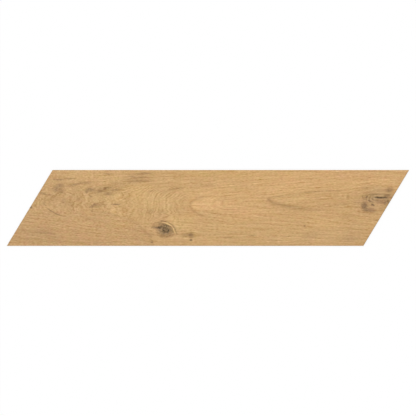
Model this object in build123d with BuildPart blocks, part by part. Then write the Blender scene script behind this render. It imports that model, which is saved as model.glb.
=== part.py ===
"""Vinyl chevron plank: one glue-down floor plank, die-cut to a parallelogram, with a fine bevel round its face.

The plank lies flat on its glued back, face up. The origin is on the back, under the middle of the plank.
+X runs along the long edges, +Y across the plank, and +Z up out of the face.
"""

import os
from math import radians, tan

from build123d import *

# Driving dimensions, in millimetres and degrees
PLANK_WIDTH = 125.0  # across the face, square to the long edges
LONG_EDGE = 587.5  # along either long edge, from corner to corner
END_ANGLE = 58.9  # between a long edge and the slanted end, inside the sharp corners
PLANK_THICKNESS = 2.5  # from the glued back to the face
EDGE_BEVEL = 0.4  # taken off the face's rim, inwards and downwards alike

# The slanted ends shift the back edge towards +X and the front edge towards -X, each by half of this
END_SHIFT = PLANK_WIDTH / tan(radians(END_ANGLE))

# Corners of the outline, counter-clockwise from the sharp corner at the front left
FRONT_Y = -PLANK_WIDTH / 2
BACK_Y = PLANK_WIDTH / 2
FRONT_LEFT = (-(LONG_EDGE + END_SHIFT) / 2, FRONT_Y)
FRONT_RIGHT = ((LONG_EDGE - END_SHIFT) / 2, FRONT_Y)
BACK_RIGHT = ((LONG_EDGE + END_SHIFT) / 2, BACK_Y)
BACK_LEFT = (-(LONG_EDGE - END_SHIFT) / 2, BACK_Y)

# The plank, a flat sheet with all four edges of its face bevelled
with BuildPart() as plank:
    with BuildSketch(Plane.XY):
        with BuildLine():
            Polyline(FRONT_LEFT, FRONT_RIGHT, BACK_RIGHT, BACK_LEFT, close=True)
        make_face()
    extrude(amount=PLANK_THICKNESS)
    face_rim = plank.faces().sort_by(Axis.Z)[-1].edges()
    chamfer(face_rim, length=EDGE_BEVEL)

plank.part.label = "plank"

os.makedirs("parts", exist_ok=True)
export_step(plank.part, "parts/plank.step")
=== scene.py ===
"""Looks of the vinyl chevron plank: an embossed oak print, plain grey edges and back, and a white studio.

The print is drawn by formulas in millimetres on the plank's own axes, +X along the long edges and +Y across.
The same formulas colour the face, in the material, and press the grain into it, in the mesh.
"""

import math
from dataclasses import dataclass

import bpy
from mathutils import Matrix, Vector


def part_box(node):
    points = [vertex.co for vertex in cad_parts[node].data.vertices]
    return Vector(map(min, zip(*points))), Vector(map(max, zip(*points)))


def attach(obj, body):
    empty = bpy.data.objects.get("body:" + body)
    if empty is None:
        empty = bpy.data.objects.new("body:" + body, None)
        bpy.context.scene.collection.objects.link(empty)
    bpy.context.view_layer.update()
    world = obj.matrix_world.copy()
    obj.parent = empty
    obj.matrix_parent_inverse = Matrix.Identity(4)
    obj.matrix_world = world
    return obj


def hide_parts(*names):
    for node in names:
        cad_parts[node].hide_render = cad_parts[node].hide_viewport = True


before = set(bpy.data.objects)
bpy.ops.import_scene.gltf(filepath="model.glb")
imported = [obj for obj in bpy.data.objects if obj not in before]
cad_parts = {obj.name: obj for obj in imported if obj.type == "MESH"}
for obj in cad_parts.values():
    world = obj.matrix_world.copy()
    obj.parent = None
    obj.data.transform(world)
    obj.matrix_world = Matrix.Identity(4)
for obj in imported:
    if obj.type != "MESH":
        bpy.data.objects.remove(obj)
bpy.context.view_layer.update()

MM = 0.001
TO_MM = (1000.0, 1000.0, 1000.0)

# The photo's image in pixels, the plank's width and middle in it, and the lens, which place the camera
IMAGE_SIDE_PX = 416.0
PLANK_WIDTH_PX = 75.89
PLANK_CENTRE_PX = (207.95, 207.94)
LENS_MM = 100.0
SENSOR_MM = 36.0


class Field:
    """A number at each point of the plank, kept as a node's output. Arithmetic on it adds Math nodes."""

    def __init__(self, socket):
        self.socket = socket
        self.tree = socket.id_data

    def __add__(self, other):
        return math_node("ADD", self, other)

    def __sub__(self, other):
        return math_node("SUBTRACT", self, other)

    def __rsub__(self, other):
        return math_node("SUBTRACT", other, self)

    def __mul__(self, other):
        return math_node("MULTIPLY", self, other)

    def __truediv__(self, other):
        return math_node("DIVIDE", self, other)

    def __neg__(self):
        return math_node("MULTIPLY", self, -1.0)


def feed(socket, value):
    """Links a field to a socket, or sets the socket to a plain number."""
    if isinstance(value, Field):
        value.tree.links.new(value.socket, socket)
    else:
        socket.default_value = value


def math_node(operation, *values):
    """The result of a Math node on fields and plain numbers."""
    tree = next(value.tree for value in values if isinstance(value, Field))
    node = tree.nodes.new("ShaderNodeMath")
    node.operation = operation
    for socket, value in zip(node.inputs, values):
        feed(socket, value)
    return Field(node.outputs[0])


def root(value):
    return math_node("SQRT", value)


def fraction(value):
    return math_node("FRACT", value)


def smaller(a, b, rounding):
    """The smaller of two values, rounded off where they cross."""
    return math_node("SMOOTH_MIN", a, b, rounding)


def larger(a, b, rounding):
    """The larger of two values, rounded off where they cross."""
    return math_node("SMOOTH_MAX", a, b, rounding)


def bell(square):
    """One where the given square is zero, falling to nothing as it grows."""
    return math_node("EXPONENT", -square)


def rise(value, low, high):
    """Zero up to low and one from high on, with a smooth step between. It falls where low is above high."""
    node = value.tree.nodes.new("ShaderNodeMapRange")
    node.interpolation_type = "SMOOTHSTEP"
    feed(node.inputs["Value"], value)
    feed(node.inputs["From Min"], low)
    feed(node.inputs["From Max"], high)
    return Field(node.outputs["Result"])


def vector(x, y, z):
    tree = next(value.tree for value in (x, y, z) if isinstance(value, Field))
    node = tree.nodes.new("ShaderNodeCombineXYZ")
    for socket, value in zip(node.inputs, (x, y, z)):
        feed(socket, value)
    return Field(node.outputs[0])


def components(place):
    node = place.tree.nodes.new("ShaderNodeSeparateXYZ")
    feed(node.inputs[0], place)
    return [Field(socket) for socket in node.outputs]


def vector_math(operation, place, other):
    """A vector field worked on with another one or with a constant vector."""
    node = place.tree.nodes.new("ShaderNodeVectorMath")
    node.operation = operation
    feed(node.inputs[0], place)
    feed(node.inputs[1], other)
    return Field(node.outputs["Vector"])


def length_of(place):
    node = place.tree.nodes.new("ShaderNodeVectorMath")
    node.operation = "LENGTH"
    feed(node.inputs[0], place)
    return Field(node.outputs["Value"])


def noise(u, v, w, detail=2.0):
    """Smooth noise about zero, mostly within a half either way, with features about one unit wide."""
    texture = u.tree.nodes.new("ShaderNodeTexNoise")
    feed(texture.inputs["Vector"], vector(u, v, w))
    texture.inputs["Scale"].default_value = 1.0
    texture.inputs["Detail"].default_value = detail
    return Field(texture.outputs[0]) - 0.5


def in_group(name, formula, *fields):
    """The result of a formula of fields, built in a node group of its own, which keeps each tree small."""
    tree = fields[0].tree
    group = bpy.data.node_groups.new(name, tree.bl_idname)
    for index, field in enumerate(fields):
        kind = "NodeSocketVector" if field.socket.type == "VECTOR" else "NodeSocketFloat"
        group.interface.new_socket(f"field_{index}", in_out="INPUT", socket_type=kind)
    group.interface.new_socket("result", in_out="OUTPUT", socket_type="NodeSocketFloat")
    entry = group.nodes.new("NodeGroupInput")
    result = group.nodes.new("NodeGroupOutput")
    feed(result.inputs[0], formula(*[Field(socket) for socket in entry.outputs[:len(fields)]]))
    node = tree.nodes.new("ShaderNodeGroup" if tree.bl_idname == "ShaderNodeTree" else "GeometryNodeGroup")
    node.node_tree = group
    for socket, field in zip(node.inputs, fields):
        feed(socket, field)
    return Field(node.outputs[0])


@dataclass
class Blot:
    """A soft patch of the print on an ellipse. Places and half sizes are in millimetres, the tilt in degrees.

    Its depth is how far the shade drops in its middle. A negative depth is a light patch.
    """

    x: float
    y: float
    half_length: float
    half_width: float
    depth: float
    tilt: float = 0.0


@dataclass
class Zone:
    """A wide soft change of the print's shade and of its hues: rosy (-1) to olive (+1), and towards cream."""

    x: float
    y: float
    half_length: float
    half_width: float
    lift: float
    olive: float = 0.0
    cream: float = 0.0
    tilt: float = 0.0


@dataclass
class Knot:
    """A knot that the fibres and the rings bend round. The reach is that of the rings round it."""

    x: float
    y: float
    radius: float
    stretch: float
    reach: float
    rings: float


@dataclass
class Flame:
    """A dark ring line: a parabola that opens to the right from its tip and fades along its arms.

    The value of above is the share of its depth that its upper arm has.
    """

    x: float
    y: float
    opening_above: float
    opening_below: float
    half_width: float
    fade: float
    depth: float
    above: float = 1.0


@dataclass
class Grain:
    """A layer of streaks: width and length in millimetres, strength, and its noise's slice and detail."""

    width: float
    length: float
    strength: float
    slice: float = 0.0
    detail: float = 2.0


@dataclass
class Ripple:
    """Smooth noise over the plank: the size of its features in millimetres, slice, strength and detail."""

    length: float
    width: float
    slice: float
    strength: float = 1.0
    detail: float = 2.0


def each(kind, *rows):
    """One spot, zone or line of the given kind for each row of its values."""
    return [kind(*row) for row in rows]


# Wherever a name ends in SPAN, its two values are where a smooth step starts and where it is complete

# Cathedral figure: nested rings that open to the right from a tip. A pitch is the length of one ring along
# the axis, in millimetres. The wild and the calm part are each set by one place and the ring that lies there.
# Left of the tip, the lower side of the rings is flattened
TIP_X = -28.0
TIP_Y = 4.8
AXIS_RISE = 7.5
AXIS_RISE_SPAN = (TIP_X, 100.0)
RING_GAP = 3.0
ROUND_AHEAD = 16.0
ROUND_BEHIND = 8.0
ROUND_SPAN = (-5.0, 1.0)
SIDE_SQUEEZE = 70.0
FLAT_SIDE = 0.8
FLAT_SIDE_ACROSS_SPAN = (0.0, -14.0)
FLAT_SIDE_ALONG_SPAN = (-36.0, -58.0)
RING_PITCH_WILD = 12.0
RING_PITCH_WAVY = 4.8
RING_PITCH_TIP = 13.5
RING_PITCH_CALM = 72.0
WILD_FROM_X = -140.0
WILD_FROM_RING = -20.0
CALM_FROM_X = 30.0
CALM_FROM_RING = 4.0
PITCH_BLEND = 1.0
WILD_BLEND = 2.0
KNOT_PARTING = 30.0
PARTING_REACH = 40.0
KNOT_SOFTNESS = 0.5

# How far the rings and the fibres wander, in millimetres, in the wild part, the wavy part or everywhere.
# The bumps of the wild part are in rings
WILD_SPAN = (-70.0, -170.0)
WAVY_SPAN = (0.0, -60.0)
RING_WANDER = Ripple(26.0, 13.0, 1.3)
RING_WANDER_WILD = 14.0
RING_WANDER_WAVY = 7.0
RING_WANDER_ALL = 2.0
RING_JITTER = Ripple(60.0, 6.5, 8.1, 8.0)
RING_SWAY = Ripple(60.0, 16.0, 5.9)
RING_SWAY_WAVY = 4.0
RING_SWAY_ALL = 1.5
WILD_BUMPS = Ripple(15.0, 11.0, 4.6, 4.0)
FIBRE_WANDER = Ripple(140.0, 40.0, 3.7)
FIBRE_WANDER_LEFT = 3.4
FIBRE_WANDER_ALL = 1.6
FIBRE_WANDER_SPAN = (40.0, -40.0)

# Where the rings lie flat in the face: left of the tip, and in part on the upper side of the figure
SWIRL_ALONG_SPAN = (-20.0, -52.0)
SWIRL_FOOT_SPAN = (-30.0, -17.0)
SWIRL_TOP_SPAN = (44.0, 30.0)
UPPER_SWIRL = Blot(14.0, 14.0, 42.0, 11.0, 0.45)

# Ring lines: the dark part of each ring, and how dark where the rings lie flat, elsewhere and at the cut knot
LINE_START_SPAN = (0.3, 0.85)
LINE_END_SPAN = (1.0, 0.88)
LINE_MEAN = 0.3
LINE_PATCHES = Ripple(40.0, 10.0, 2.2)
LINE_PATCH_SPAN = (-0.16, 0.16)
SWIRL_LINES = 0.06
FAINT_LINES = 0.015
EDGE_KNOT_LINES = Blot(266.0, 15.0, 16.0, 11.0, 0.06)

# Slopes of the fibres, which climb above a bent axis and fall below it and in the dull corner
FAN_AXIS_Y = 6.0
FAN_AXIS_LEFT = -0.15
FAN_AXIS_RIGHT = -0.045
CLIMB = 0.095
FALL = -0.095
DULL_FALL = -0.15
FAN_ABOVE_SPAN = (0.0, 8.0)
FAN_BELOW_SPAN = (-3.0, -11.0)
FAN_TOP_SPAN = (58.0, 34.0)
FAN_TOP_SHARE = 0.5
FAN_FOOT_SPAN = (-48.0, -30.0)
FAN_START_SPAN = (-30.0, 5.0)
# The sloping streaks use other parts of the noise than the level ones, which give way to them by half
CLIMB_OFFSET = 200.0
FALL_OFFSET = 400.0
LEVEL_LOSS = 0.5
SLOPING_SHARE = 0.87

# Layers of the grain. Two of them keep only their CALM share where the rings don't lie flat, and the streaks
# along the fibres lose the share SWIRL_LOSS where they do. The specks are stronger in the dull corner
BROAD_BANDS = Grain(8.0, 100.0, 0.037)
BROAD_BANDS_CALM = 0.3
RING_STREAKS = Grain(1.8, 30.0, 0.18)
RING_STREAKS_CALM = 0.1
LONG_BANDS = Grain(7.0, 110.0, 0.014, 8.3)
CLOUDS = Grain(9.0, 34.0, 0.027, 2.4)
FIBRES = Grain(2.3, 32.0, 0.097, 4.4, 0.0)
FIBRE_STEP = 1.8
DARK_DASHES = Grain(1.7, 16.0, 0.092, 6.1, 1.0)
PALE_DASHES = Grain(1.6, 15.0, 0.075, 7.7, 1.0)
DASH_SPAN = (0.12, 0.3)
SWIRL_LOSS = 0.75
SPECKS = Grain(1.4, 4.4, 0.215, 5.1)
DULL_SPECKS = 0.3
PORES = Grain(0.45, 6.0, 0.05, 1.9, 1.0)
PORE_SPAN = (0.1, 0.26)
SMOKE = Grain(2.4, 10.0, 1.0, 9.5, 3.0)

# Burr-like mottling at the upper left
BURR = Grain(11.0, 15.0, 0.068, 6.6, 3.0)
BURR_FLECKS = Grain(2.0, 3.0, 0.165, 2.9)
BURR_ALONG_SPAN = (-90.0, -150.0)
BURR_FOOT_SPAN = (-22.0, -4.0)

# Dull corner at the lower left: its arched border, which falls to the front edge beside the big knot
DULL_SHADE = 0.026
DULL_ARCH_X = -200.0
DULL_ARCH_Y = -62.5
DULL_ARCH_LENGTH = 107.0
DULL_ARCH_HEIGHT = 57.0
DULL_EDGE_SPAN = (1.07, 0.93)
DULL_LINE_WIDTH = 0.03
DULL_LINE_DEPTH = 0.03
DULL_LINE_SPAN = (-190.0, -165.0)

# Hues: clouds and flecks from rosy to olive, and towards cream, with their changes in the dull corner
HUE_CLOUDS = Ripple(26.0, 11.0, 0.4, 2.1)
HUE_FLECKS = Ripple(8.0, 4.6, 0.9, 4.8)
DULL_HUE_GAIN = 0.4
DULL_ROSY = 0.1
CREAM_CLOUDS = Ripple(16.0, 8.0, 6.8)
CREAM_STRENGTH = 0.55
DULL_CREAM_GAIN = 0.2
DULL_CREAM = 0.05

# How far rims fray along and across the plank, in millimetres
DRIFT = Ripple(8.0, 4.0, 7.3)
BLOT_FRAY = (5.0, 2.6)
FLAME_FRAY = (5.0, 3.0)
DULL_FRAY = (6.0, 4.0)
DULL_LINE_FRAY = (6.0, 3.0)
RIM_FRAY = (2.0, 1.0)

# How much smoke, crumbs and specks break the patches up
FLAME_SMOKE = 1.4
STAIN_SMOKE = 1.2
CRUMBS = Ripple(3.0, 2.4, 3.3, 2.0)
KNOT_SPECKS = Ripple(2.6, 2.4, 5.7, detail=1.0)
BIG_KNOT_SPECKS = 1.6
EDGE_KNOT_SPECKS = 1.4

# Share of its ellipse over which a patch is full
SOFT_CORE = 0.2
BIG_KNOT_CORE = 0.6
EDGE_KNOT_CORE = 0.25
ZONE_CORE = 0.1

# Pale rim on the big knot's upper right and the dark line outside it, in millimetres
KNOT_RIM_X = -75.4
KNOT_RIM_Y = -45.6
PALE_RIM_RADIUS = 21.4
PALE_RIM = 0.19
DARK_RIM_RADIUS = 24.0
DARK_RIM = 0.1
RIM_LINE = 1.0
RIM_TOWARDS = (0.64, 0.77)
RIM_SIDE_SPAN = (15.2, 18.4)

# Darker rims of the slanted ends, and how far they reach in millimetres
END_WEAR = 0.022
END_WEAR_MM = 2.0

# Ring lines of the figure, drawn one by one from left to right
FLAMES = each(
    Flame,
    (-52.7, 3.5, 14, 14, 1.8, 20, 0.022, 0.6),
    (-42, 3.2, 12, 14, 1.8, 20, 0.03, 0.5),
    (-35, 4.5, 18, 20, 4, 14, 0.02, 0.5),
    (-28.8, 4.8, 8.3, 16, 2.4, 32, 0.074),
    (9, 7.3, 4.5, 5, 1.5, 36, 0.025),
    (21.4, 7.6, 4.5, 5, 1.5, 36, 0.025),
    (34.6, 8.4, 4, 4.5, 1.5, 36, 0.02),
    (100.4, 14.4, 1.2, 4, 3.1, 126, 0.09, 0.35),
)
# Millimetres over which one arm of such a line changes to the other, and the share of an arm that isn't faded
OPENING_SWITCH = 1.5
SHARE_SWITCH = 3.0
FULL_SHARE = 0.2

BIG_KNOT = Knot(-70.8, -36.0, 9.0, 1.3, 15.0, 5.0)
EDGE_KNOT = Knot(279.0, 15.5, 8.0, 1.6, 13.0, 3.0)
SMALL_KNOT = Knot(-27.0, -45.5, 4.0, 1.6, 6.0, 1.5)
PIN_KNOT = Knot(159.8, -29.7, 1.6, 1.5, 3.0, 0.8)
KNOTS = (BIG_KNOT, EDGE_KNOT, SMALL_KNOT, PIN_KNOT)

# The print's usual shade, and the zones of lighter and darker wood in its left, middle and right part
BASE_SHADE = 0.788
LEFT_SHADES = each(
    Zone,
    (-293, -27, 26, 14, 0.012),
    (-293, -9, 16, 13, -0.011),
    (-290, -45, 110, 34, -0.016),
    (-285, -38, 50, 26, -0.008, 0, 0.1),
    (-278, -22, 13, 9, 0.012),
    (-265, -39, 32, 10, -0.02),
    (-264, 6, 22, 16, 0.008),
    (-264, 24, 24, 24, 0.02),
    (-262, 20, 115, 38, -0.034),
    (-248, -34, 34, 10, 0.012),
    (-234, 12, 20, 18, -0.015),
    (-228, 30, 9, 9, 0.014),
    (-218, -24, 34, 16, 0.012, -0.3),
    (-200, -56, 54, 8, -0.01),
    (-185, 50, 75, 20, 0.013),
    (-175, -43, 22, 10, 0.01),
    (-145, -22, 26, 18, 0.012),
    (-130, -8, 40, 12, 0.009),
    (-115, 23, 25, 30, 0.016),
)
MIDDLE_SHADES = each(
    Zone,
    (-104, -38, 28, 14, -0.013),
    (-90, 10, 85, 34, 0.01, 0.55),
    (-70, 30, 36, 20, -0.014),
    (-58, 32, 24, 18, -0.01),
    (-56, 56, 30, 10, -0.014),
    (-54, -38, 18, 12, -0.014, 0.5, 0.15),
    (-46, -25, 36, 20, 0.03, 0.9),
    (-26, -2, 18, 26, 0.015, -0.35, -0.2),
    (-26, -56, 18, 7, 0.01),
    (-26, 16, 16, 10, 0.015),
    (-10, 25, 42, 9, 0.02),
    (-5, 42, 32, 14, -0.009),
    (2, -53, 42, 9, 0.018),
    (8, 6, 60, 18, 0.045, -0.6),
    (33, -31, 26, 15, 0.014),
    (60, -7, 46, 14, 0.014, -0.8),
    (61, -8, 18, 7, 0.014),
    (62, 31, 26, 11, -0.012),
    (92, -50, 22, 12, 0.014),
    (92, 16, 14, 8, -0.012),
)
RIGHT_SHADES = each(
    Zone,
    (110, -58, 280, 26, -0.012, 0.1),
    (112, 24, 26, 7, 0.015),
    (120, 25, 300, 62, 0.026, -0.35),
    (124, 29.5, 20, 10, 0.014),
    (127, -50, 30, 11, 0.02),
    (136, 48, 38, 20, 0.014, -0.4),
    (138, 2, 50, 17, -0.021, 0.4),
    (150, -50, 120, 16, 0.006, 0, 0.1),
    (168, -44, 30, 9, -0.01),
    (179.5, -9.5, 24, 6, 0.016, -0.2),
    (181, -23, 22, 8, 0.013),
    (181, -53, 22, 9, 0.014),
    (190, 5, 32, 10, -0.012),
    (193, -26, 36, 14, 0.017),
    (205, 12, 80, 26, -0.02, 0.2),
    (211, 1, 26, 10, -0.013),
    (236, 54, 62, 13, -0.014, -0.4),
    (240, 41, 22, 13, 0.015),
    (241, 6, 16, 9, 0.01),
    (246, -42, 36, 34, -0.022, 0, 0.1),
    (250, 55, 130, 24, 0.018, -0.4),
    (268, -28, 22, 14, 0.012),
    (270, 31, 22, 12, -0.012),
    (272, 12, 60, 34, -0.045),
    (300, 42, 44, 17, 0.016, -0.2),
)
# Zones where only the hue changes
HUES = each(
    Zone,
    (-262, -28, 30, 14, 0, -0.4),
    (-248, -6, 38, 20, 0, -0.35, 0.06),
    (-204, -46, 22, 12, 0, -0.9),
    (-165, 20, 90, 45, 0, 0.2),
    (-160, 22, 46, 24, 0, 0.4, -0.03),
    (-145, -24, 24, 18, 0, 0, -0.16),
    (-125, 28, 60, 26, 0, 0, -0.09),
    (-115, 50, 24, 12, 0, -0.5),
    (-30, -44, 30, 14, 0, 0.4),
    (-12, 57, 40, 9, 0, 0.45),
    (20, 58, 300, 17, 0, 0, -0.22),
    (40, -20, 40, 10, 0, 0, -0.08),
    (40, 22, 80, 24, 0, 0, -0.07),
    (40, -16, 60, 18, 0, 0, -0.07),
    (45, -10, 60, 18, 0, -0.5),
    (60, 36, 300, 26, 0, 0, -0.04),
    (110, -47, 210, 22, 0, 0.35),
    (133, 18, 36, 14, 0, 0.9),
    (150, 20, 75, 26, 0, 0, -0.06),
    (200, -46, 75, 18, 0, 0, 0.15),
    (262, 4, 32, 18, 0, 0, 0.22),
    (272, 10, 40, 26, 0, 0, 0.08),
    (280, 20, 34, 28, 0, 0.8, 0.05),
    (284, 11, 16, 9, 0, -1.2),
    (286, 20, 34, 22, 0, 0, 0.22),
)
ZONES = LEFT_SHADES + MIDDLE_SHADES + RIGHT_SHADES + HUES

# Big knot left of the middle: its brown disc, dark core and the dark tail on its left
BIG_KNOT_BLOTS = each(
    Blot,
    (-70.2, -37.2, 18.8, 15.2, 0.13),
    (-71.4, -34.6, 12.8, 10.4, 0.11),
    (-69, -36.6, 7, 5.6, 0.095),
    (-59.3, -37.9, 8, 4, 0.05),
    (-94.7, -44.5, 6, 5, 0.035),
    (-76.6, -32.2, 6, 3.6, 0.05),
    (-69.2, -28.6, 6, 2.6, 0.07),
    (-85.6, -32.6, 10.5, 2.2, 0.13, -6),
    (-84.8, -28.1, 9, 6, 0.06, 20),
    (-74.5, -23.8, 8.5, 4.2, 0.085),
)
# Two small knots right of it, and the pin knot
SMALL_KNOT_BLOTS = each(
    Blot,
    (-27.2, -44.6, 7.6, 7, 0.15, 15),
    (-35.6, -44.6, 12.5, 4.4, 0.105, 5),
    (-27.9, -53, 3.2, 2.6, 0.32),
    (159.6, -29.7, 2.9, 2.9, 0.145),
)
# Cut knot at the right end: its slit, the rings round it, and the dark and pale patches about it
EDGE_KNOT_BLOTS = each(
    Blot,
    (284, 17.2, 15, 2.4, 0.38, -2),
    (284.9, 11.2, 14, 6.4, 0.1),
    (293.5, 14, 6.5, 11, 0.07),
    (300.5, 17.5, 9.5, 14, 0.075),
    (293.2, 4.8, 6, 4, 0.05),
    (291, 7.6, 3.4, 2.8, 0.1),
    (297, 9.5, 4.5, 5.5, 0.1),
    (277, 22.2, 16, 2.6, 0.1),
    (293, 21, 10, 4, 0.08),
    (299, 30, 10.5, 5.8, 0.145, 12),
    (286, 29, 12, 3.2, 0.04),
    (257.8, 3.8, 8, 8, 0.19),
    (257.5, -2.6, 7.4, 5, 0.08),
    (267.8, -3.6, 14, 5.4, 0.12),
    (271.6, 5.2, 4.2, 2.4, 0.22, -25),
    (279.2, 4.6, 8, 4, -0.04),
    (288, -2, 9, 7, 0.035),
    (266, 16.5, 17, 12, 0.07),
    (263.5, -8.3, 22, 8, 0.03),
    (258, 33.3, 10, 1.8, 0.06),
    (261.4, 18.3, 1.9, 3, 0.13, -10),
    (255, 18, 1.5, 4, 0.08, -8),
    (268, 11.2, 9, 1.7, 0.11, -23),
    (272, 13.8, 7, 1.5, 0.08, -25),
    (257.7, 14.1, 3.2, 1.6, 0.08),
)
# Smoky stains and pale patches
STAINS = each(
    Blot,
    (-291.5, 0.7, 3.2, 3.2, 0.24),
    (-271.8, 24.2, 10, 2.8, 0.095, -12),
    (-269, 6.8, 7, 5, 0.05),
    (-265.2, 8.1, 4.5, 5, -0.06, 30),
    (-262, 21.4, 9, 3, 0.065, -6),
    (-259, 12, 20, 11, 0.045),
    (-252, 31.2, 7, 7.4, 0.075),
    (-247.5, 31.2, 16, 13, 0.036, 20),
    (-246, 34, 6, 7, 0.05, 10),
    (-242, 38, 9, 3.6, 0.09),
    (-241.5, 27.5, 8, 5, 0.055),
    (-237, 11.4, 6, 8, 0.05),
    (-226, 4, 10, 13, 0.03),
    (-213, 14, 8, 5, 0.04),
    (-200, 26, 3.6, 3.2, 0.1),
    (-199, -9, 11, 5.5, -0.035),
    (-194.3, 30.2, 11, 5, 0.15),
    (-192.7, 18.8, 3.5, 2.8, 0.09),
    (-191.4, 2.2, 5.5, 3.2, 0.11, 25),
    (-190.5, -4.5, 2.8, 4.4, 0.07),
    (-187.4, 5.8, 4.2, 2.8, 0.08, 30),
    (-182, 5, 11, 7, 0.07),
    (-179.5, 27.6, 5.4, 4, 0.05, 30),
    (-171, 29.8, 11, 3.8, 0.034, 16),
    (-171, 8, 9, 9, 0.04),
    (-168, 29, 34, 12, 0.054, 4),
    (-164, 23.4, 11, 4.6, 0.07),
    (-163.5, 33.2, 10, 3, 0.025, 4),
    (-155, -5, 8, 7, -0.045),
    (-148, 17, 10, 8, -0.05),
    (-142, -5, 9, 8, -0.02),
    (-136, 42, 36, 9, 0.05, 6),
    (-112, 48.5, 32, 11, 0.04),
    (-95, -6, 12, 6, 0.05, 10),
    (-92, -56, 2.8, 4, 0.1),
    (-76, -8, 10, 10, 0.045),
    (-60, -20, 10, 7, -0.03),
    (101.5, 14.6, 6, 4, 0.045, -30),
    (168, -46, 20, 9.5, 0.02),
    (229, -13.3, 20, 6, 0.03),
    (230.6, 18.8, 4, 5.4, 0.045),
    (232, -49.5, 21, 7, 0.025),
)
# Crisp dark dash
CRACKS = each(
    Blot,
    (-151.5, 6, 11.5, 1.3, 0.22),
)
# Long thin streaks
STREAKS = each(
    Blot,
    (-292, -51, 24, 1.3, 0.045),
    (-268.5, -41.3, 24, 2.8, 0.05, -8),
    (-260.4, -3.4, 9.5, 1.8, 0.13, -33),
    (-256, -6.6, 6.5, 1.8, 0.09, -27),
    (-255, -55.5, 44, 1.3, 0.05),
    (-254, -49, 22, 5, 0.03),
    (-248.5, -10.2, 8.5, 1.9, 0.11, -20),
    (-246.5, 46.8, 14, 2.6, 0.12),
    (-240, -13, 8.5, 1.7, 0.06, -15),
    (-227.3, 48.5, 15, 2.2, 0.08),
    (-225, 36, 14, 1.8, 0.06, 4),
    (-219, 38.6, 14, 2.4, 0.11, 8),
    (-202.5, 41.6, 17, 3, 0.095, 3),
    (-176, -57, 48, 1.3, 0.05),
    (-168, 33.2, 16, 2.4, 0.035, 6),
    (-164.7, 55.9, 12, 1.7, 0.11),
    (-152, 30, 14, 2.4, 0.08, 4),
    (-126, 52, 9, 1.8, 0.07),
    (-112, 50.5, 20, 1.8, 0.06, 1),
    (-110, 56, 26, 3.4, 0.05),
    (-107, 44.6, 22, 2.6, 0.07, 2),
    (-102.1, 57.4, 20, 1.8, 0.1),
    (-93.9, 27.6, 10, 2.2, 0.06, 15),
    (-52.7, 32, 22, 3.2, 0.06, 9),
    (-8, 36.4, 34, 5, 0.032),
    (33, -48.7, 10, 1.6, 0.08),
    (36, -39.6, 36, 1.6, 0.045),
    (72.5, -45.4, 10, 1.5, 0.09),
    (118, 18.6, 18, 1.5, 0.055, 2),
    (128.5, -47.2, 12, 1.3, 0.07),
    (170, 26.3, 26, 1.6, 0.09, 4),
    (182.8, 16.4, 10, 2.2, 0.04),
    (206, 28.6, 26, 1.6, 0.09, 1),
    (222.3, 6.5, 15, 2.6, 0.04),
    (245.4, 9, 10, 2, 0.045),
    (280, -19.9, 11, 1.8, 0.05),
)


def layer(grain, across, along):
    """The noise of one layer of streaks, at its strength."""
    return noise(across / grain.width, along / grain.length, grain.slice, grain.detail) * grain.strength


def peaks(grain, across, along, span):
    """One in the few places where the noise of a layer is high, as the span says."""
    return rise(noise(across / grain.width, along / grain.length, grain.slice, grain.detail), *span)


def ring_layer(grain, ring_height, x, y):
    """The noise of one layer of streaks along the rings, at its strength."""
    return noise(ring_height / grain.width, x / grain.length, y / grain.length) * grain.strength


def ripple(shape, x, y):
    """The noise of a ripple, at its strength."""
    return noise(x / shape.length, y / shape.width, shape.slice, shape.detail) * shape.strength


def ellipse(place, spot):
    """The distance from a spot's middle, which is one on its rim."""
    offset = vector_math("SUBTRACT", place, (spot.x, spot.y, 0.0))
    if spot.tilt:
        turn = place.tree.nodes.new("ShaderNodeVectorRotate")
        turn.rotation_type = "Z_AXIS"
        feed(turn.inputs["Vector"], offset)
        turn.inputs["Angle"].default_value = -math.radians(spot.tilt)
        offset = Field(turn.outputs["Vector"])
    return length_of(vector_math("MULTIPLY", offset, (1.0 / spot.half_length, 1.0 / spot.half_width, 0.0)))


def soft_spot(x, y, spot):
    """A bell over a level spot, as high as its depth."""
    u = (x - spot.x) / spot.half_length
    v = (y - spot.y) / spot.half_width
    return bell(u * u + v * v) * spot.depth


def blots(name, place, spots, core):
    """The depth of some blots together, each full over the given share of its ellipse."""

    def depth(place):
        total = 0.0
        for blot in spots:
            total = rise(ellipse(place, blot), 1.0, core) * blot.depth + total
        return total

    return in_group(name, depth, place)


def zone_sum(name, place, strength):
    """The sum over all zones of what the given function says of each."""

    def total_of(place):
        total = 0.0
        for zone in ZONES:
            if strength(zone):
                total = rise(ellipse(place, zone), 1.0, ZONE_CORE) * strength(zone) + total
        return total

    return in_group(name, total_of, place)


def flames(x, y):
    """How much the ring lines drawn one by one darken the print."""
    total = 0.0
    for flame in FLAMES:
        u = x - flame.x
        v = y - flame.y
        upper = rise(v, -OPENING_SWITCH, OPENING_SWITCH)
        opening = upper * (flame.opening_above - flame.opening_below) + flame.opening_below
        distance = (v * v - opening * u) / root(opening * opening + v * v * 4.0)
        line = bell(distance * distance / (flame.half_width * flame.half_width))
        share = rise(v, -SHARE_SWITCH, SHARE_SWITCH) * (flame.above - 1.0) + 1.0
        total = line * share * rise(u, flame.fade, FULL_SHARE * flame.fade) * flame.depth + total
    return total


def fibre_height(x, y):
    """The height of the fibre through a point, far from any knot. The fibres part round each knot."""
    wander = rise(x, *FIBRE_WANDER_SPAN) * FIBRE_WANDER_LEFT + FIBRE_WANDER_ALL
    height = y + ripple(FIBRE_WANDER, x, y) * wander
    for knot in KNOTS:
        dx = (x - knot.x) / knot.stretch
        dy = y - knot.y
        reach = knot.radius * knot.radius
        height = height - dy * reach / (dx * dx + dy * dy + KNOT_SOFTNESS * reach)
    return height


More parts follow.
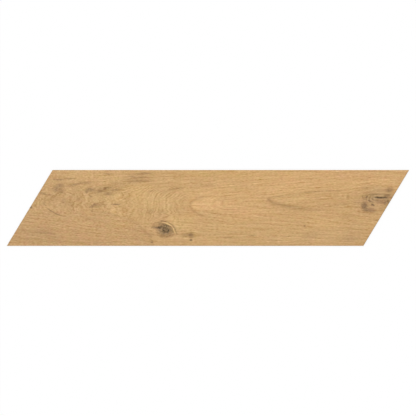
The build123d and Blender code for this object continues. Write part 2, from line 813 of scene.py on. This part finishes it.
def swirl_zone(x, y):
    """One where the rings lie flat in the face and their lines run across the plank."""
    left = rise(x, *SWIRL_ALONG_SPAN) * rise(y, *SWIRL_FOOT_SPAN) * rise(y, *SWIRL_TOP_SPAN)
    return left + soft_spot(x, y, UPPER_SWIRL)


def ring_count(x, y, height):
    """The number of growth rings crossed from the tip of the cathedral figure to a point."""
    wild = rise(x, *WILD_SPAN)
    wavy = rise(x, *WAVY_SPAN)
    dx = x - BIG_KNOT.x
    dy = y - BIG_KNOT.y
    square = dx * dx + dy * dy
    parting = KNOT_PARTING * KNOT_PARTING
    near_knot = bell(square / (PARTING_REACH * PARTING_REACH))
    x = x - dx * parting / (square + KNOT_SOFTNESS * parting) * near_knot
    wander = wild * RING_WANDER_WILD + wavy * RING_WANDER_WAVY + RING_WANDER_ALL
    x = x + ripple(RING_WANDER, x, height) * wander
    x = x + ripple(RING_JITTER, x, height) * wavy
    across = height - TIP_Y - rise(x, *AXIS_RISE_SPAN) * AXIS_RISE
    across = across + ripple(RING_SWAY, x, height) * (wavy * RING_SWAY_WAVY + RING_SWAY_ALL)
    across = across + across * across * across / (SIDE_SQUEEZE * SIDE_SQUEEZE)
    flat = rise(across, *FLAT_SIDE_ACROSS_SPAN) * rise(x, *FLAT_SIDE_ALONG_SPAN)
    across = across * (1.0 - flat * FLAT_SIDE)
    tip_rings = (x - TIP_X) / RING_PITCH_TIP
    wavy_rings = (x - TIP_X) / RING_PITCH_WAVY
    calm_rings = (x - CALM_FROM_X) / RING_PITCH_CALM + CALM_FROM_RING
    wild_rings = (x - WILD_FROM_X) / RING_PITCH_WILD + WILD_FROM_RING
    along = smaller(smaller(wavy_rings, tip_rings, PITCH_BLEND), calm_rings, PITCH_BLEND)
    along = larger(along, wild_rings, WILD_BLEND)
    ahead = larger(along, 0.0, PITCH_BLEND)
    behind = smaller(along, 0.0, PITCH_BLEND) * RING_GAP
    rounding = rise(along, *ROUND_SPAN) * (ROUND_AHEAD - ROUND_BEHIND) + ROUND_BEHIND
    spread = root(behind * behind + across * across + rounding * rounding) - rounding
    return ahead - spread / RING_GAP + ripple(WILD_BUMPS, x, y) * wild


def knot_rings(x, y):
    """Rings added round the knots, so that the ring lines close about them."""
    total = 0.0
    for knot in KNOTS:
        dx = (x - knot.x) / (knot.stretch * knot.reach)
        dy = (y - knot.y) / knot.reach
        total = bell(dx * dx + dy * dy) * knot.rings + total
    return total


def ring_lines(x, y, rings, swirl):
    """How much the ring lines darken the print."""
    phase = fraction(rings)
    line = rise(phase, *LINE_START_SPAN) * rise(phase, *LINE_END_SPAN) - LINE_MEAN
    patches = rise(ripple(LINE_PATCHES, x, y), *LINE_PATCH_SPAN)
    return line * patches * (swirl * SWIRL_LINES + FAINT_LINES + soft_spot(x, y, EDGE_KNOT_LINES))


def ring_streaks(x, y, rings, swirl):
    """The light and dark streaks along the rings."""
    ring_height = rings * RING_GAP
    broad = swirl * (1.0 - BROAD_BANDS_CALM) + BROAD_BANDS_CALM
    fine = swirl * (1.0 - RING_STREAKS_CALM) + RING_STREAKS_CALM
    bands = ring_layer(BROAD_BANDS, ring_height, x, y) * broad
    return bands + ring_layer(RING_STREAKS, ring_height, x, y) * fine


def two_slopes(x, left, right):
    """A height that is zero at the plank's middle, with one slope to the left of it and one to the right."""
    return math_node("MINIMUM", x, 0.0) * left + math_node("MAXIMUM", x, 0.0) * right


def streaks_along(x, height):
    """Streaks along the lines of equal height: crisp fibres, long bands, and dark and pale dashes."""
    crisp = layer(FIBRES, height, x) - layer(FIBRES, height + FIBRE_STEP, x)
    dark = peaks(DARK_DASHES, height, x, DASH_SPAN) * DARK_DASHES.strength
    pale = peaks(PALE_DASHES, height, x, DASH_SPAN) * PALE_DASHES.strength
    return crisp + layer(LONG_BANDS, height, x) - dark + pale


def fibre_streaks(x, y, height, swirl, dull):
    """The light and dark streaks along the fibres, faint where the rings lie flat, and the fine specks."""
    off_axis = y - FAN_AXIS_Y - two_slopes(x, FAN_AXIS_LEFT, FAN_AXIS_RIGHT)
    top = rise(y, *FAN_TOP_SPAN) * (1.0 - FAN_TOP_SHARE) + FAN_TOP_SHARE
    above = rise(off_axis, *FAN_ABOVE_SPAN) * top
    below = rise(off_axis, *FAN_BELOW_SPAN) * rise(y, *FAN_FOOT_SPAN) * rise(x, *FAN_START_SPAN) + dull
    climb = height - x * CLIMB + CLIMB_OFFSET
    fall = height - two_slopes(x, DULL_FALL, FALL) + FALL_OFFSET
    level = in_group("level_streaks", streaks_along, x, height) * (1.0 - (above + below) * LEVEL_LOSS)
    climbing = in_group("climbing_streaks", streaks_along, x, climb) * above
    falling = in_group("falling_streaks", streaks_along, x, fall) * below
    total = level + climbing * SLOPING_SHARE + falling * SLOPING_SHARE
    specks = layer(SPECKS, height, x) * (dull * DULL_SPECKS + 1.0)
    return total * (1.0 - swirl * SWIRL_LOSS) + specks


def burr(x, y):
    """The burr-like mottling at the upper left."""
    patchy = layer(BURR, y, x) + layer(BURR_FLECKS, y, x)
    return patchy * rise(x, *BURR_ALONG_SPAN) * rise(y, *BURR_FOOT_SPAN)


def dull_arch(x, y):
    """A distance that is one on the arched border of the dull corner and less inside it."""
    u = math_node("MAXIMUM", x - DULL_ARCH_X, 0.0) / DULL_ARCH_LENGTH
    v = (y - DULL_ARCH_Y) / DULL_ARCH_HEIGHT
    return root(u * u + v * v)


def dull_line(x, y):
    """The faint dark line along the right part of that border."""
    off = (dull_arch(x, y) - 1.0) / DULL_LINE_WIDTH
    return bell(off * off) * rise(x, *DULL_LINE_SPAN)


def dull_corner(x, y):
    """The duller wood at the lower left, below a line that runs down to the big knot."""
    return rise(dull_arch(x, y), *DULL_EDGE_SPAN)


def big_knot_rim(x, y):
    """How much the rim lines of the big knot darken the print. The pale one lightens it."""
    dx = x - KNOT_RIM_X
    dy = y - KNOT_RIM_Y
    distance = root(dx * dx + dy * dy)
    side = rise(dx * RIM_TOWARDS[0] + dy * RIM_TOWARDS[1], *RIM_SIDE_SPAN)
    pale = (distance - PALE_RIM_RADIUS) / RIM_LINE
    dark = (distance - DARK_RIM_RADIUS) / RIM_LINE
    return (bell(dark * dark) * DARK_RIM - bell(pale * pale) * PALE_RIM) * side


def corners_at(node, level):
    """The corners at one of the plank's three heights in metres, from the front left to the back left."""
    points = {tuple(round(value, 7) for value in vertex.co) for vertex in node.data.vertices}
    heights = sorted({point[2] for point in points})
    ring = [point for point in points if point[2] == heights[level]]
    front = sorted(point for point in ring if point[1] < 0.0)
    back = sorted(point for point in ring if point[1] > 0.0)
    return front[0], front[-1], back[-1], back[0]


# Corners of the back, of the bevel's lower rim and of the face
RIMS = [corners_at(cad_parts["plank"], level) for level in range(3)]
BACK_CORNERS, SHOULDER_CORNERS, FACE_CORNERS = RIMS


def end_distances(x, y):
    """How far a point lies inside the left and the right slanted end of the face, along the plank."""
    front_left, front_right, _, back_left = [[value / MM for value in corner] for corner in FACE_CORNERS]
    slope = (back_left[0] - front_left[0]) / (back_left[1] - front_left[1])
    from_left = x - front_left[0] - (y - front_left[1]) * slope
    from_right = (front_right[0] - front_left[0]) - from_left
    return from_left, from_right


def worn_ends(x, y):
    """How much the die-cut rims of the slanted ends are darker."""
    nearest = math_node("MINIMUM", *end_distances(x, y)) / END_WEAR_MM
    return bell(nearest * nearest) * END_WEAR


@dataclass
class Print:
    """The print as fields: the height of its fibres, its broad shade, its fine grain and its two hues.

    The shade is about the red value, from zero to one, and the grain is in the same units.
    """

    height: Field
    shade: Field
    grain: Field
    olive: Field
    cream: Field


def oak_shade(place, smoke, dull, frayed):
    """The broad shade of the print: clouds and zones, darkened by lines, stains and knots."""
    x, y, _ = components(place)
    ragged = vector(*frayed(BLOT_FRAY), 0.0)
    broken = math_node("MAXIMUM", smoke * STAIN_SMOKE + ripple(CRUMBS, x, y) + 1.0, 0.0)
    specks = ripple(KNOT_SPECKS, x, y)
    shade = zone_sum("zone_lift", place, lambda zone: zone.lift) + layer(CLOUDS, y, x) + BASE_SHADE
    shade = shade - in_group("flames", flames, *frayed(FLAME_FRAY)) * (smoke * FLAME_SMOKE + 1.0)
    shade = shade - dull * DULL_SHADE
    shade = shade - in_group("dull_line", dull_line, *frayed(DULL_LINE_FRAY)) * DULL_LINE_DEPTH
    shade = shade - blots("stains", ragged, STAINS, SOFT_CORE) * broken
    shade = shade - blots("streaks", ragged, STREAKS, SOFT_CORE) * broken
    big_knot = blots("big_knot", ragged, BIG_KNOT_BLOTS, BIG_KNOT_CORE)
    shade = shade - big_knot * (specks * BIG_KNOT_SPECKS + 1.0)
    shade = shade - blots("small_knots", ragged, SMALL_KNOT_BLOTS, SOFT_CORE)
    shade = shade - blots("cracks", place, CRACKS, SOFT_CORE)
    edge_knot = blots("edge_knot", ragged, EDGE_KNOT_BLOTS, EDGE_KNOT_CORE)
    shade = shade - edge_knot * (specks * EDGE_KNOT_SPECKS + 1.0)
    shade = shade - in_group("big_knot_rim", big_knot_rim, *frayed(RIM_FRAY))
    return shade - in_group("worn_ends", worn_ends, x, y)


def oak_hues(place, dull):
    """The olive and the cream hue of the print."""
    x, y, _ = components(place)
    olive = (ripple(HUE_CLOUDS, x, y) + ripple(HUE_FLECKS, x, y)) * (dull * DULL_HUE_GAIN + 1.0)
    olive = olive + zone_sum("zone_hue", place, lambda zone: zone.olive) - dull * DULL_ROSY
    cream = ripple(CREAM_CLOUDS, x, y) * (dull * DULL_CREAM_GAIN + CREAM_STRENGTH) + dull * DULL_CREAM
    cream = cream + zone_sum("zone_cream", place, lambda zone: zone.cream)
    return olive, cream


def oak_figure(place):
    """The whole print at a place in millimetres."""
    x, y, _ = components(place)
    height = in_group("fibre_height", fibre_height, x, y)
    rings = in_group("ring_count", ring_count, x, y, height) + in_group("knot_rings", knot_rings, x, y)
    smoke = layer(SMOKE, height, x)
    drift = ripple(DRIFT, x, y)

    def frayed(fray):
        """The place shifted by the drift along the plank and by the smoke across it."""
        return x + drift * fray[0], y + smoke * fray[1]

    dull = in_group("dull_corner", dull_corner, *frayed(DULL_FRAY))
    swirl = in_group("swirl_zone", swirl_zone, x, y) * (1.0 - dull)
    grain = in_group("ring_streaks", ring_streaks, x, y, rings, swirl)
    grain = grain + in_group("fibre_streaks", fibre_streaks, x, y, height, swirl, dull)
    grain = grain + in_group("burr", burr, x, y)
    grain = grain - in_group("ring_lines", ring_lines, x, y, rings, swirl)
    shade = oak_shade(place, smoke, dull, frayed)
    return Print(height, shade, grain, *oak_hues(place, dull))


# Colours of the print from its darkest to its lightest shade, as sRGB values out of 255
PRINT_COLOURS = (
    (70, 56, 41),
    (110, 88, 60),
    (140, 113, 81),
    (166, 132, 91),
    (185, 148, 101),
    (201, 162, 112),
    (213, 173, 120),
    (226, 186, 131),
)
# How much one unit of fine grain, of olive hue and of cream hue changes each colour, as a share of it
GRAIN_GAIN = (2.72, 3.58, 5.5)
OLIVE_GAIN = (-0.015, 0.0265, -0.0075)
CREAM_GAIN = (0.0, 0.02, 0.36)
# What the satin surface reflects of the white studio, which comes off each colour
SHEEN = 0.022

# Satin surface of the print: its reflection, roughness and the depth of its bump
FACE_SPECULAR = 0.3
FACE_ROUGHNESS = 0.48
PORE_ROUGHNESS = 0.12
ROUGH_STREAKS = Grain(1.5, 12.0, 0.1, 2.8)
PORE_BUMP = 0.2
FACE_BUMP_MM = 0.12

# Filled vinyl of the edges and back: its two greys, the size of its specks and clouds, and its surface
VINYL_COLOURS = ((92, 90, 87), (136, 133, 128))
VINYL_SPECK_MM = 0.5
VINYL_CLOUD_LENGTH = 22.0
VINYL_CLOUD_WIDTH = 14.0
VINYL_SPECKS = 0.9
VINYL_CLOUDS = 0.6
VINYL_ROUGHNESS = 0.68
VINYL_SPECK_ROUGHNESS = 0.15
VINYL_BUMP_MM = 0.08


def linear(colour):
    """The linear RGB of an sRGB colour out of 255."""
    parts = [value / 255.0 for value in colour]
    return [part / 12.92 if part <= 0.04045 else ((part + 0.055) / 1.055) ** 2.4 for part in parts]


def new_material(name):
    """A material with its tree, its shader, and the place on the plank in millimetres."""
    material = bpy.data.materials.new(name)
    material.use_nodes = True
    tree = material.node_tree
    texture = tree.nodes.new("ShaderNodeTexCoord")
    place = vector_math("MULTIPLY", Field(texture.outputs["Object"]), TO_MM)
    return material, tree, tree.nodes["Principled BSDF"], place


def colour_ramp(tree, factor, positions, colours):
    """The colour at a factor, between linear RGB colours at rising positions."""
    ramp = tree.nodes.new("ShaderNodeValToRGB")
    stops = ramp.color_ramp.elements
    while len(stops) < len(colours):
        stops.new(0.5)
    for stop, position, colour in zip(stops, positions, colours):
        stop.position = position
        stop.color = [*colour, 1.0]
    feed(ramp.inputs["Fac"], factor)
    return Field(ramp.outputs["Color"])


def add_bump(tree, shader, height, depth_mm):
    """Gives a shader a bump from a height field, as deep as given for one unit of it."""
    bump = tree.nodes.new("ShaderNodeBump")
    bump.inputs["Distance"].default_value = depth_mm * MM
    feed(bump.inputs["Height"], height)
    feed(shader.inputs["Normal"], Field(bump.outputs["Normal"]))


def oak_print():
    """The printed face under its clear satin wear layer, with open pores."""
    material, tree, shader, place = new_material("oak_print")
    wood = oak_figure(place)
    x, _, _ = components(place)
    pores = peaks(PORES, wood.height, x, PORE_SPAN)
    grain = wood.grain - pores * PORES.strength
    positions = [colour[0] / 255.0 for colour in PRINT_COLOURS]
    colours = [[max(value - SHEEN, 0.0) for value in linear(colour)] for colour in PRINT_COLOURS]
    tints = [
        grain * fine + wood.olive * olive + wood.cream * cream + 1.0
        for fine, olive, cream in zip(GRAIN_GAIN, OLIVE_GAIN, CREAM_GAIN)
    ]
    colour = vector_math("MULTIPLY", colour_ramp(tree, wood.shade, positions, colours), vector(*tints))
    feed(shader.inputs["Base Color"], colour)
    shader.inputs["Specular IOR Level"].default_value = FACE_SPECULAR
    roughness = pores * PORE_ROUGHNESS + layer(ROUGH_STREAKS, wood.height, x) + FACE_ROUGHNESS
    feed(shader.inputs["Roughness"], roughness)
    relief = layer(FIBRES, wood.height, x) + layer(SPECKS, wood.height, x) - pores * PORE_BUMP
    add_bump(tree, shader, relief, FACE_BUMP_MM)
    return material


def grey_vinyl():
    """The filled vinyl of the edges and the back, dull and finely specked."""
    material, tree, shader, place = new_material("grey_vinyl")
    x, y, z = components(place)
    specks = noise(x / VINYL_SPECK_MM, y / VINYL_SPECK_MM, z / VINYL_SPECK_MM, detail=3.0)
    clouds = noise(x / VINYL_CLOUD_LENGTH, y / VINYL_CLOUD_WIDTH, z / VINYL_CLOUD_WIDTH)
    shade = specks * VINYL_SPECKS + clouds * VINYL_CLOUDS + 0.5
    colours = [linear(colour) for colour in VINYL_COLOURS]
    feed(shader.inputs["Base Color"], colour_ramp(tree, shade, (0.0, 1.0), colours))
    feed(shader.inputs["Roughness"], specks * VINYL_SPECK_ROUGHNESS + VINYL_ROUGHNESS)
    add_bump(tree, shader, specks, VINYL_BUMP_MM)
    return material


# Face mesh: its cells along and across, and how many of them meet one cell of the edges and the back
CELLS_ALONG = 400
CELLS_ACROSS = 200
COARSE = 8
COARSE_ALONG = CELLS_ALONG // COARSE
COARSE_ACROSS = CELLS_ACROSS // COARSE

# Relief: the darkest shade left flat, the depth for a unit of shade below it, the most depth, the flat rim,
# and how far below the face the pressing starts and is complete
RELIEF_TOP = 0.79
RELIEF_MM = 0.3
RELIEF_FLOOR_MM = 0.15
RIM_MM = 1.5
FACE_BAND_MM = (0.2, 0.1)

# Bake map: its margin and width, and the foot and height of the bands of the print, the walls and the back
MAP_MARGIN = 0.01
MAP_WIDTH = 0.98
PRINT_BAND = (0.24, 0.75)
WALL_BAND = (0.2, 0.02)
BACK_BAND = (0.01, 0.17)


def between(corners, u, v):
    """The point at shares u along and v across a parallelogram."""
    front_left, front_right, _, back_left = corners
    return tuple(a + (b - a) * u + (c - a) * v for a, b, c in zip(front_left, front_right, back_left))


def grid(corners, columns, rows):
    """Points over a parallelogram, row by row from its front left corner."""
    return [between(corners, i / columns, j / rows) for j in range(rows + 1) for i in range(columns + 1)]


def grid_faces(columns, rows, first):
    """The faces of such a grid, whose first point has the given index."""
    width = columns + 1
    for j in range(rows):
        for i in range(columns):
            a = first + j * width + i
            yield a, a + 1, a + width + 1, a + width


def rim_indices(columns, rows):
    """Indices round the rim of a grid, from the front left corner along the front."""
    width = columns + 1
    front = list(range(columns))
    right = [columns + j * width for j in range(rows)]
    back = [rows * width + columns - i for i in range(columns)]
    left = [(rows - j) * width for j in range(rows)]
    return front + right + back + left


def rim_shares(columns, rows):
    """Shares along and across of the points round the rim of a grid."""
    width = columns + 1
    return [((index % width) / columns, (index // width) / rows) for index in rim_indices(columns, rows)]


def plank_mesh():
    """A closed plank: a fine face, its bevel, walls and a coarse back. The print's faces come first."""
    points = grid(FACE_CORNERS, CELLS_ALONG, CELLS_ACROSS)
    faces = list(grid_faces(CELLS_ALONG, CELLS_ACROSS, 0))
    face_rim = rim_indices(CELLS_ALONG, CELLS_ACROSS)
    first_back = len(points)
    points += grid(BACK_CORNERS, COARSE_ALONG, COARSE_ACROSS)
    back_rim = [first_back + index for index in rim_indices(COARSE_ALONG, COARSE_ACROSS)]
    first_shoulder = len(points)
    points += [between(SHOULDER_CORNERS, *share) for share in rim_shares(COARSE_ALONG, COARSE_ACROSS)]
    count = len(back_rim)
    bevel = []
    walls = []
    for index in range(count):
        after = (index + 1) % count
        lower = (first_shoulder + index, first_shoulder + after)
        upper = [face_rim[(index * COARSE + step) % len(face_rim)] for step in range(COARSE, -1, -1)]
        bevel.append((*lower, *upper))
        walls.append((back_rim[index], back_rim[after], lower[1], lower[0]))
    back = [face[::-1] for face in grid_faces(COARSE_ALONG, COARSE_ACROSS, first_back)]
    printed = len(faces) + len(bevel)
    mesh = bpy.data.meshes.new("plank_visual")
    mesh.from_pydata(points, [], faces + bevel + walls + back)
    add_bake_map(mesh, printed, count)
    for polygon in mesh.polygons:
        polygon.material_index = 0 if polygon.index < printed else 1
    return mesh


def sheared(corners, point):
    """The shares along and across a parallelogram at a point, which may lie a little outside it."""
    front_left, front_right, _, back_left = corners
    across = (point[1] - front_left[1]) / (back_left[1] - front_left[1])
    shift = (back_left[0] - front_left[0]) * across
    along = (point[0] - front_left[0] - shift) / (front_right[0] - front_left[0])
    return along, across


def add_bake_map(mesh, printed, wall_count):
    """A map with the print in most of the picture, the walls in a strip below it and the back at the foot."""
    bake_map = mesh.uv_layers.new(name="OFBake")
    for polygon in mesh.polygons:
        wall = polygon.index - printed
        for corner, loop in enumerate(polygon.loop_indices):
            along, across = sheared(SHOULDER_CORNERS, mesh.vertices[mesh.loops[loop].vertex_index].co)
            band = BACK_BAND
            if wall < 0:
                band = PRINT_BAND
            elif wall < wall_count:
                band = WALL_BAND
                along = (wall + (1 if corner in (1, 2) else 0)) / wall_count
                across = 0.0 if corner < 2 else 1.0
            bake_map.data[loop].uv = (MAP_MARGIN + MAP_WIDTH * along, band[0] + band[1] * across)


def press_grain(piece):
    """Presses the print's darker grain into the face, all but its rim."""
    tree = bpy.data.node_groups.new("press_grain", "GeometryNodeTree")
    tree.interface.new_socket("Geometry", in_out="INPUT", socket_type="NodeSocketGeometry")
    tree.interface.new_socket("Geometry", in_out="OUTPUT", socket_type="NodeSocketGeometry")
    entry = tree.nodes.new("NodeGroupInput")
    result = tree.nodes.new("NodeGroupOutput")
    position = Field(tree.nodes.new("GeometryNodeInputPosition").outputs[0])
    place = vector_math("MULTIPLY", position, TO_MM)
    wood = oak_figure(place)
    x, y, z = components(place)
    front = FACE_CORNERS[0][1] / MM
    back = FACE_CORNERS[3][1] / MM
    top = FACE_CORNERS[0][2] / MM
    inside = rise(y, front, front + RIM_MM) * rise(y, back, back - RIM_MM)
    for distance in end_distances(x, y):
        inside = inside * rise(distance, 0.0, RIM_MM)
    on_face = rise(z, top - FACE_BAND_MM[0], top - FACE_BAND_MM[1])
    depth = math_node("MAXIMUM", (RELIEF_TOP - (wood.shade + wood.grain)) * RELIEF_MM, 0.0)
    depth = math_node("MINIMUM", depth, RELIEF_FLOOR_MM)
    mover = tree.nodes.new("GeometryNodeSetPosition")
    tree.links.new(entry.outputs[0], mover.inputs["Geometry"])
    feed(mover.inputs["Offset"], vector(0.0, 0.0, depth * inside * on_face * -MM))
    tree.links.new(mover.outputs["Geometry"], result.inputs[0])
    modifier = piece.modifiers.new("press_grain", "NODES")
    modifier.node_group = tree
    bpy.context.view_layer.update()
    pressed = bpy.data.meshes.new_from_object(piece.evaluated_get(bpy.context.evaluated_depsgraph_get()))
    piece.modifiers.clear()
    piece.data = pressed


def add_object(name, data):
    piece = bpy.data.objects.new(name, data)
    bpy.context.scene.collection.objects.link(piece)
    return piece


def build_plank():
    """The visible plank, which stands for the CAD one."""
    mesh = plank_mesh()
    mesh.materials.append(oak_print())
    mesh.materials.append(grey_vinyl())
    piece = add_object("printed_plank", mesh)
    press_grain(piece)
    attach(piece, "root")
    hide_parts("plank")


# Studio: light levels that add up to one on the face, the slant and spread of the key light, the floor's side
# and drop in metres, and the share of light that it throws back
WHITE = (1.0, 1.0, 1.0, 1.0)
WORLD_LIGHT = 0.55
KEY_LIGHT = 0.45
KEY_TILT = (math.radians(-18.0), math.radians(-14.0), 0.0)
KEY_SPREAD = math.radians(25.0)
FLOOR_SIDE = 8.0
FLOOR_DROP = 0.0001
FLOOR_ALBEDO = 0.2


def seen_directly(tree):
    """One for camera, glossy and transmission rays, zero for the light that falls on things."""
    path = tree.nodes.new("ShaderNodeLightPath")
    seen = Field(path.outputs["Is Camera Ray"])
    for ray in ("Is Glossy Ray", "Is Transmission Ray"):
        seen = math_node("MAXIMUM", seen, Field(path.outputs[ray]))
    return seen


def build_world():
    """White where it is seen, and a soft light from all sides."""
    world = bpy.data.worlds.new("studio")
    world.use_nodes = True
    bpy.context.scene.world = world
    tree = world.node_tree
    background = tree.nodes["Background"]
    background.inputs["Color"].default_value = WHITE
    feed(background.inputs["Strength"], seen_directly(tree) * (1.0 - WORLD_LIGHT) + WORLD_LIGHT)


def build_floor():
    """A white floor just under the plank, which takes its shadow."""
    half = FLOOR_SIDE / 2.0
    corners = [(-half, -half), (half, -half), (half, half), (-half, half)]
    mesh = bpy.data.meshes.new("floor")
    mesh.from_pydata([(x, y, -FLOOR_DROP) for x, y in corners], [], [(0, 1, 2, 3)])
    floor = add_object("floor", mesh)
    material = bpy.data.materials.new("floor_white")
    material.use_nodes = True
    tree = material.node_tree
    shader = tree.nodes["Principled BSDF"]
    shader.inputs["Base Color"].default_value = (FLOOR_ALBEDO, FLOOR_ALBEDO, FLOOR_ALBEDO, 1.0)
    shader.inputs["Roughness"].default_value = 1.0
    shader.inputs["Specular IOR Level"].default_value = 0.0
    shader.inputs["Emission Color"].default_value = WHITE
    feed(shader.inputs["Emission Strength"], seen_directly(tree) * (1.0 - FLOOR_ALBEDO))
    mesh.materials.append(material)


def build_lights():
    """One wide key light from the upper left. Its energy makes up for its slant."""
    lamp = bpy.data.lights.new("key", "SUN")
    lamp.energy = KEY_LIGHT * math.pi / (math.cos(KEY_TILT[0]) * math.cos(KEY_TILT[1]))
    lamp.angle = KEY_SPREAD
    key = add_object("key", lamp)
    key.rotation_euler = KEY_TILT


def build_camera(node):
    """A camera straight above, as far off as makes the plank as wide as in the photo."""
    low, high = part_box(node)
    pixel = (high.y - low.y) / PLANK_WIDTH_PX
    distance = pixel * IMAGE_SIDE_PX * LENS_MM / SENSOR_MM
    data = bpy.data.cameras.new("camera")
    data.lens = LENS_MM
    data.sensor_width = SENSOR_MM
    camera = add_object("camera", data)
    to_right = (IMAGE_SIDE_PX / 2.0 - PLANK_CENTRE_PX[0]) * pixel
    to_front = (IMAGE_SIDE_PX / 2.0 - PLANK_CENTRE_PX[1]) * pixel
    camera.location = (to_right, -to_front, high.z + distance)
    bpy.context.scene.camera = camera


bpy.context.scene.view_settings.view_transform = "Standard"
build_plank()
build_floor()
build_world()
build_lights()
build_camera("plank")
